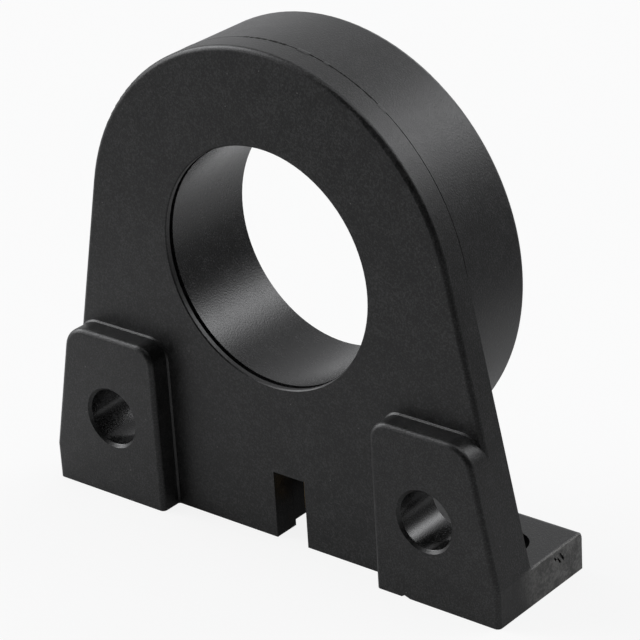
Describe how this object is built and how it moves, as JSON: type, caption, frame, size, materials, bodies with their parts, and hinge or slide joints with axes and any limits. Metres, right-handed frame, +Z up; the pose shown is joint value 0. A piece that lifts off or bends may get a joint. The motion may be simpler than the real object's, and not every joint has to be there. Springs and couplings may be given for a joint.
{
  "type": "current sensor",
  "caption": "Moulded ring-shaped current sensor round a cable window, on an upright plate with corner pads, a drilled foot and a pin connector underneath.",
  "frame": {"origin": "bottom centre: midway along and across the base, on the mounting face", "axes": "+X along the base to the right seen from the front, +Y to the back along the window's axis, +Z up"},
  "size_m": [0.0506, 0.0126, 0.0463],
  "materials": {
    "housing": "fine matte grain, black",
    "cover": "fine matte grain, black, satin in the window",
    "core": "wound strip edges",
    "chip": "dark",
    "ceramic": "off-white ceramic",
    "pins": "gold plated"
  },
  "bodies": {
    "root": {"base_housing": "housing", "ring_cover": "cover", "flux_core": "core", "hall_chip": "chip", "hall_substrate": "ceramic", "terminal_supply": "pins", "terminal_ground": "pins", "terminal_output": "pins"}
  },
  "joints": []
}
